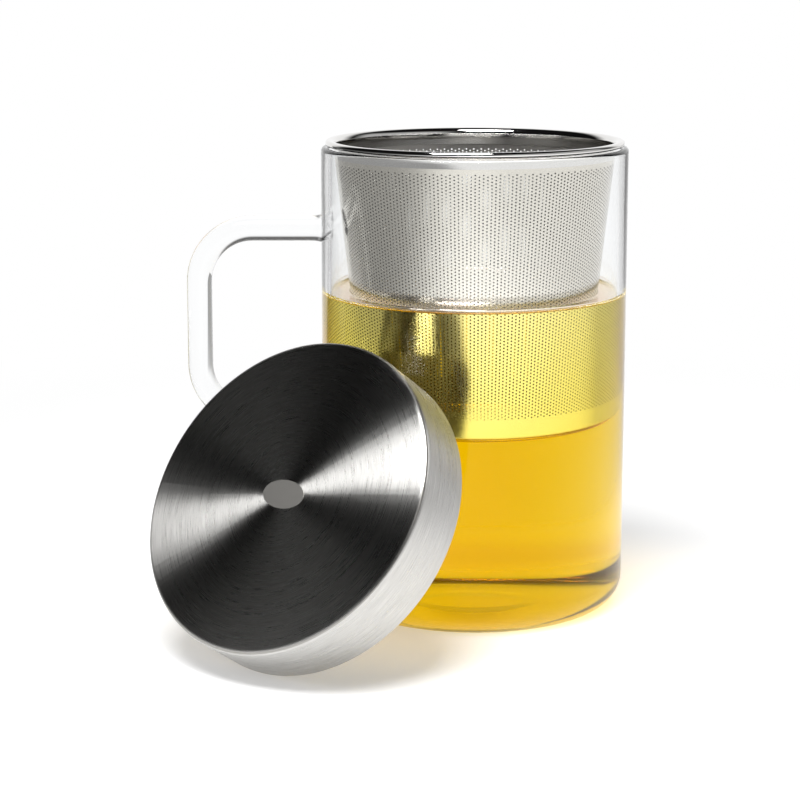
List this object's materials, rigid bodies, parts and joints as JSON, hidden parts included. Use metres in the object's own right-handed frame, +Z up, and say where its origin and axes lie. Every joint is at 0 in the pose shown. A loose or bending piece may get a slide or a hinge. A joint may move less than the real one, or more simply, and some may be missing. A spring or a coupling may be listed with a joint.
{
  "type": "glass tea mug with infuser and lid",
  "caption": "Straight glass tea mug with a side handle, a perforated steel infuser basket hanging from its rim and a loose round steel cap leaning on it.",
  "frame": {"origin": "centre of the mug's flat base, on the table", "axes": "+Z up along the mug's axis, handle towards -X, front of the picture towards -Y"},
  "size_m": [0.1296, 0.1376, 0.1313],
  "materials": {
    "mug_glass": "clear, fire-polished",
    "polished_steel": "mirror polished",
    "basket_steel": "satin, finely perforated",
    "lid_steel": "turned in fine rings on the face, satin on the skirt"
  },
  "bodies": {
    "mug": {"mug_body": "mug_glass", "mug_handle": "mug_glass"},
    "infuser": {"infuser_rim": "polished_steel", "infuser_wall": "basket_steel", "infuser_floor": "basket_steel"},
    "lid": {"lid_shell": "lid_steel"}
  },
  "joints": [
    {"name": "infuser_lift", "type": "slide", "parent": "mug", "child": "infuser", "axis": [0, 0, 1], "range_m": [0, 0.12]},
    {"name": "lid_lift", "type": "slide", "parent": "mug", "child": "lid", "axis": [0, 0, 1], "range_m": [0, 0.16]}
  ]
}
